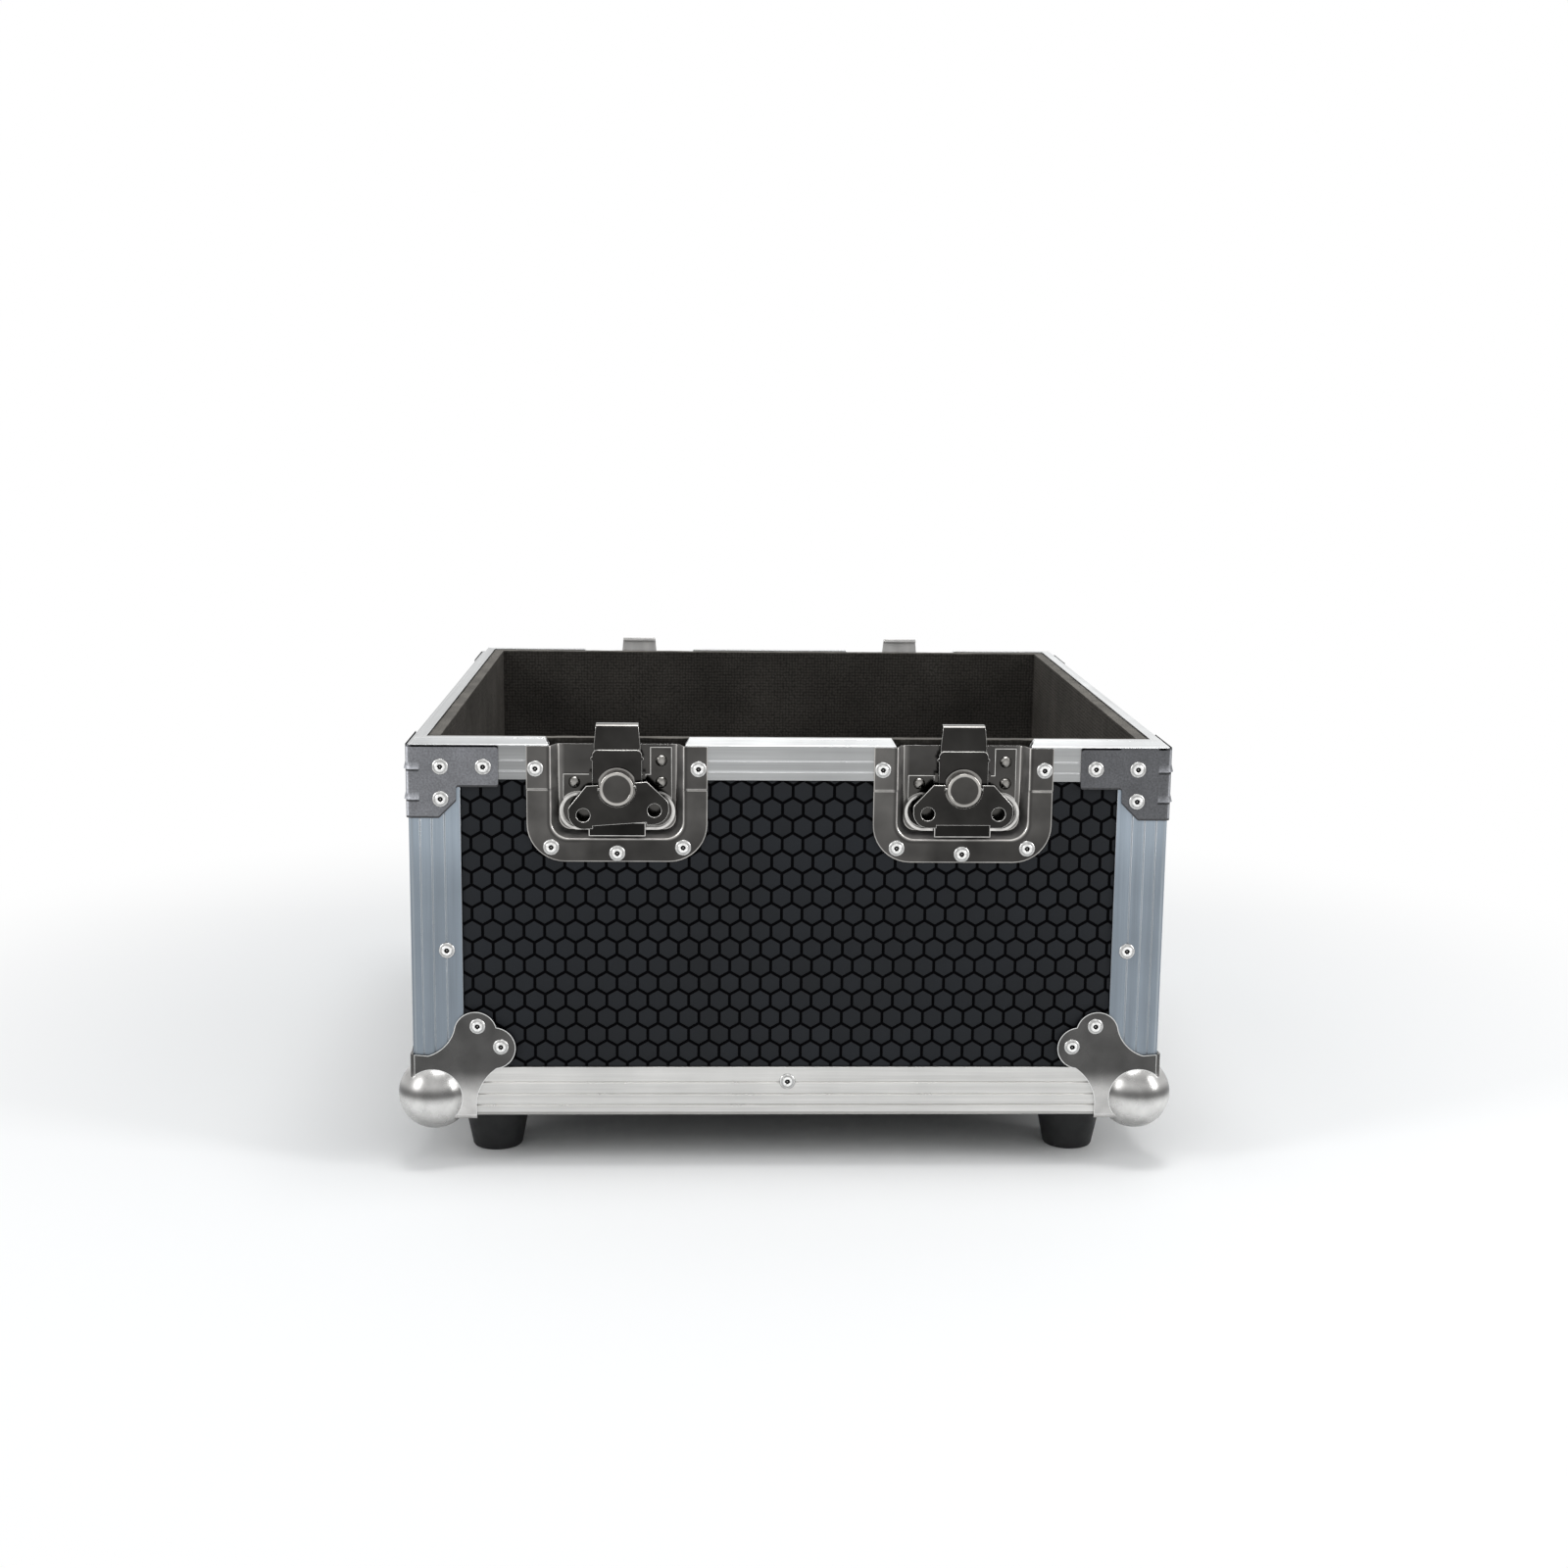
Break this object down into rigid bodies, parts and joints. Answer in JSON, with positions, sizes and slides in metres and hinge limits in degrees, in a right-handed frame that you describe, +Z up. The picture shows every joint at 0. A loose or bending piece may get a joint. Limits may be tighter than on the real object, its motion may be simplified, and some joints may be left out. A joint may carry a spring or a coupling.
{
  "type": "flight case base",
  "caption": "Square open-topped flight case base with aluminium edges, steel corners, recessed twist latches, side handles, foam lining and rubber feet.",
  "frame": {"origin": "on the floor, under the middle of the case", "axes": "+Z up; -Y is the front, with two latches; +X is the right side"},
  "size_m": [0.46, 0.46, 0.266],
  "materials": {
    "laminated_plywood": "dark laminate with a raised hexagon pattern",
    "rim_aluminium": "extruded, grooved",
    "edge_aluminium": "extruded, grooved",
    "bracket_steel": "grained dark grey",
    "ball_steel": "satin zinc",
    "rubber": "matte",
    "plated_steel": "plated",
    "foam": "open-cell foam, dark",
    "dish_chrome": "bright nickel",
    "latch_plate": "bright nickel",
    "key_chrome": "bright nickel",
    "rivet_steel": "bright",
    "dome_rivet": "bright",
    "bail_chrome": "bright"
  },
  "bodies": {
    "case": {"front_panel": "laminated_plywood", "right_panel": "laminated_plywood", "back_panel": "laminated_plywood", "left_panel": "laminated_plywood", "bottom_panel": "laminated_plywood", "corner_post_front_left": "edge_aluminium", "corner_post_front_right": "edge_aluminium", "corner_post_back_right": "edge_aluminium", "corner_post_back_left": "edge_aluminium", "bottom_edge_front": "edge_aluminium", "bottom_edge_right": "edge_aluminium", "bottom_edge_back": "edge_aluminium", "bottom_edge_left": "edge_aluminium", "rim_front": "rim_aluminium", "rim_right": "rim_aluminium", "rim_back": "rim_aluminium", "rim_left": "rim_aluminium", "corner_bracket_front_left": "bracket_steel", "corner_bracket_front_right": "bracket_steel", "corner_bracket_back_right": "bracket_steel", "corner_bracket_back_left": "bracket_steel", "ball_corner_front_left": "ball_steel", "ball_corner_front_right": "ball_steel", "ball_corner_back_right": "ball_steel", "ball_corner_back_left": "ball_steel", "rubber_feet": "rubber", "foot_washers": "plated_steel", "foot_screws": "plated_steel", "foam_front": "foam", "foam_right": "foam", "foam_back": "foam", "foam_left": "foam", "foam_floor": "foam", "latch_dish_front_left": "dish_chrome", "latch_dish_front_right": "dish_chrome", "latch_dish_back_right": "dish_chrome", "latch_dish_back_left": "dish_chrome", "latch_base_plates": "latch_plate", "latch_base_rivets": "dome_rivet", "frame_rivets": "rivet_steel", "latch_rivets": "rivet_steel", "handle_rivets": "rivet_steel", "handle_dish_left": "dish_chrome", "handle_dish_right": "dish_chrome"},
    "hook_front_left": {"latch_hook_front_left": "latch_plate"},
    "hub_front_left": {"latch_hub_front_left": "key_chrome"},
    "wing_front_left": {"latch_wing_front_left": "key_chrome"},
    "hook_front_right": {"latch_hook_front_right": "latch_plate"},
    "hub_front_right": {"latch_hub_front_right": "key_chrome"},
    "wing_front_right": {"latch_wing_front_right": "key_chrome"},
    "hook_back_right": {"latch_hook_back_right": "latch_plate"},
    "hub_back_right": {"latch_hub_back_right": "key_chrome"},
    "wing_back_right": {"latch_wing_back_right": "key_chrome"},
    "hook_back_left": {"latch_hook_back_left": "latch_plate"},
    "hub_back_left": {"latch_hub_back_left": "key_chrome"},
    "wing_back_left": {"latch_wing_back_left": "key_chrome"},
    "bail_left": {"handle_bail_left": "bail_chrome", "handle_grip_left": "rubber"},
    "bail_right": {"handle_bail_right": "bail_chrome", "handle_grip_right": "rubber"}
  },
  "joints": [
    {"name": "key_twist_front_left", "type": "hinge", "parent": "case", "child": "hub_front_left", "pos_m": [-0.1, -0.22, 0.2295], "axis": [0, -1, 0], "range_deg": [-4.2, 175.8]},
    {"name": "hook_slide_front_left", "type": "slide", "parent": "case", "child": "hook_front_left", "axis": [0, 0, 1], "range_m": [-0.00021, 0.009]},
    {"name": "wing_fold_front_left", "type": "hinge", "parent": "hub_front_left", "child": "wing_front_left", "pos_m": [-0.1, -0.2222, 0.2295], "axis": [-0.9973, 0, -0.0732], "range_deg": [0, 90]},
    {"name": "key_twist_front_right", "type": "hinge", "parent": "case", "child": "hub_front_right", "pos_m": [0.1, -0.22, 0.2295], "axis": [0, -1, 0], "range_deg": [0, 180]},
    {"name": "hook_slide_front_right", "type": "slide", "parent": "case", "child": "hook_front_right", "axis": [0, 0, 1], "range_m": [0, 0.009]},
    {"name": "wing_fold_front_right", "type": "hinge", "parent": "hub_front_right", "child": "wing_front_right", "pos_m": [0.1, -0.2222, 0.2295], "axis": [-1, 0, 0], "range_deg": [0, 90]},
    {"name": "key_twist_back_right", "type": "hinge", "parent": "case", "child": "hub_back_right", "pos_m": [0.1, 0.22, 0.2295], "axis": [0, 1, 0], "range_deg": [0, 180]},
    {"name": "hook_slide_back_right", "type": "slide", "parent": "case", "child": "hook_back_right", "axis": [0, 0, 1], "range_m": [0, 0.009]},
    {"name": "wing_fold_back_right", "type": "hinge", "parent": "hub_back_right", "child": "wing_back_right", "pos_m": [0.1, 0.2222, 0.2295], "axis": [1, 0, 0], "range_deg": [0, 90]},
    {"name": "key_twist_back_left", "type": "hinge", "parent": "case", "child": "hub_back_left", "pos_m": [-0.1, 0.22, 0.2295], "axis": [0, 1, 0], "range_deg": [0, 180]},
    {"name": "hook_slide_back_left", "type": "slide", "parent": "case", "child": "hook_back_left", "axis": [0, 0, 1], "range_m": [0, 0.009]},
    {"name": "wing_fold_back_left", "type": "hinge", "parent": "hub_back_left", "child": "wing_back_left", "pos_m": [-0.1, 0.2222, 0.2295], "axis": [1, 0, 0], "range_deg": [0, 90]},
    {"name": "handle_swing_left", "type": "hinge", "parent": "case", "child": "bail_left", "pos_m": [-0.214, 0, 0.175], "axis": [0, 1, 0], "range_deg": [0, 90]},
    {"name": "handle_swing_right", "type": "hinge", "parent": "case", "child": "bail_right", "pos_m": [0.214, 0, 0.175], "axis": [0, -1, 0], "range_deg": [0, 90]}
  ],
  "couplings": [
    {"joint": "hook_slide_front_left", "follows": "key_twist_front_left", "m_per_rad": 0.002864},
    {"joint": "hook_slide_front_right", "follows": "key_twist_front_right", "m_per_rad": 0.002864},
    {"joint": "hook_slide_back_right", "follows": "key_twist_back_right", "m_per_rad": 0.002864},
    {"joint": "hook_slide_back_left", "follows": "key_twist_back_left", "m_per_rad": 0.002864}
  ]
}
